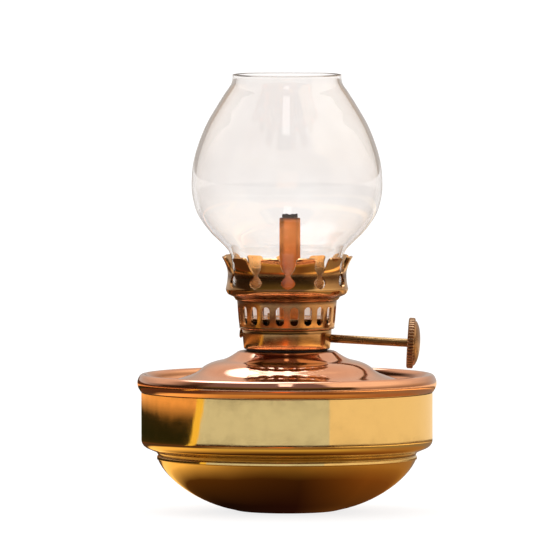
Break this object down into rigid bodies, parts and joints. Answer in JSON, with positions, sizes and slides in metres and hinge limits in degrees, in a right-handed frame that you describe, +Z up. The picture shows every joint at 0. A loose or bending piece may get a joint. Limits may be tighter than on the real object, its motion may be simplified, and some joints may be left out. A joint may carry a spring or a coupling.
{
  "type": "oil lamp",
  "caption": "Small flat-wick oil lamp: rounded metal font with a copper top, screw-in burner with a knob winder, petal crown and a tulip glass chimney.",
  "frame": {"origin": "centre of the flat base, on the axis of the lamp", "axes": "+Z up along the lamp's axis to the chimney's mouth, +X towards the wick winder's knob"},
  "size_m": [0.0826, 0.0826, 0.1207],
  "materials": {
    "font_brass": "polished",
    "copper": "polished copper",
    "burner_brass": "antique, polished",
    "tube_copper": "heat-tinted",
    "shaft_brass": "aged, satin",
    "knob_brass": "aged, satin",
    "seal": "matt",
    "cotton": "woven cotton, charred tip",
    "clear_glass": "clear, blown"
  },
  "bodies": {
    "font": {"font_body": "font_brass", "font_top": "copper", "font_collar": "burner_brass"},
    "seal": {"burner_washer": "seal"},
    "burner": {"screw_shell": "burner_brass", "burner_plate": "burner_brass", "burner_cup": "burner_brass", "air_deck": "burner_brass", "air_basket": "burner_brass", "gallery_crown": "burner_brass", "wick_tube": "tube_copper", "wheel_housing": "burner_brass", "vent_tube": "burner_brass"},
    "winder": {"winder_shaft": "shaft_brass", "wick_wheel_left": "shaft_brass", "wick_wheel_right": "shaft_brass", "thumb_knob": "knob_brass"},
    "wick": {"wick": "cotton"},
    "chimney": {"glass_chimney": "clear_glass"}
  },
  "joints": [
    {"name": "burner_rise", "type": "slide", "parent": "font", "child": "seal", "axis": [0, 0, 1], "range_m": [0, 0.0046]},
    {"name": "burner_unscrew", "type": "hinge", "parent": "seal", "child": "burner", "pos_m": [0, 0, 0.0446], "axis": [0, 0, 1], "range_deg": [0, 1080]},
    {"name": "winder_turn", "type": "hinge", "parent": "burner", "child": "winder", "pos_m": [0, 0.00335, 0.04822], "axis": [-0.9984, 0, 0.0567], "range_deg": [-180, 110]},
    {"name": "wick_feed", "type": "slide", "parent": "burner", "child": "wick", "axis": [0, 0, 1], "range_m": [-0.0079, 0.0049]},
    {"name": "chimney_lift", "type": "slide", "parent": "burner", "child": "chimney", "axis": [0, 0, 1], "range_m": [0, 0.03]}
  ],
  "couplings": [
    {"joint": "burner_rise", "follows": "burner_unscrew", "m_per_rad": 0.00023873},
    {"joint": "wick_feed", "follows": "winder_turn", "m_per_rad": 0.0025}
  ]
}
